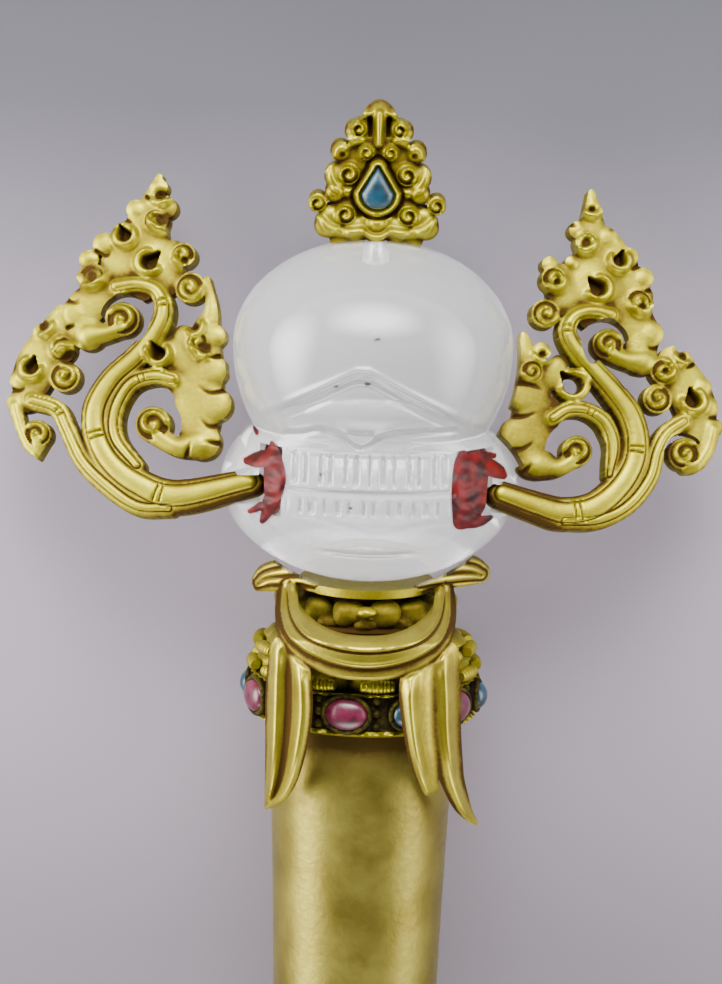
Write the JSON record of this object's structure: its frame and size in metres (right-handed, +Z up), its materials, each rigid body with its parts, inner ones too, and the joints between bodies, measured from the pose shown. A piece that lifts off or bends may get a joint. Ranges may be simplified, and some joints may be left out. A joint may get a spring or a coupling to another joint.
{
  "type": "ritual sceptre",
  "caption": "Ritual sceptre with a carved rock-crystal skull head, openwork gilt flame wings and crest, a jewelled collar with a tied scarf, and a long gilt tube handle.",
  "frame": {"origin": "middle of the small flat on the back of the crystal head, at floor level, with the sceptre lying on its back", "axes": "+X to the right seen from the front, +Y along the handle towards the crest, +Z up out of the front face"},
  "size_m": [0.1223, 0.4086, 0.0479],
  "materials": {
    "gilt": "worn satin fire gilding, brown in the recesses",
    "rock_crystal": "polished clear stone",
    "ruby": "polished domed stone",
    "turquoise": "polished domed stone",
    "red_lacquer": "wet-looking sealing wax"
  },
  "bodies": {
    "root": {"handle": "gilt", "jewelled_collar": "gilt", "scarf": "gilt", "crystal_seat": "gilt", "crystal_head": "rock_crystal", "crest": "gilt", "crest_turquoise": "turquoise", "flame_wing_left": "gilt", "flame_wing_right": "gilt", "lacquer_left": "red_lacquer", "lacquer_right": "red_lacquer", "ruby_1": "ruby", "ruby_2": "ruby", "ruby_3": "ruby", "ruby_4": "ruby", "ruby_5": "ruby", "ruby_6": "ruby", "turquoise_1": "turquoise", "turquoise_2": "turquoise", "turquoise_3": "turquoise", "turquoise_4": "turquoise", "turquoise_5": "turquoise", "turquoise_6": "turquoise"}
  },
  "joints": []
}
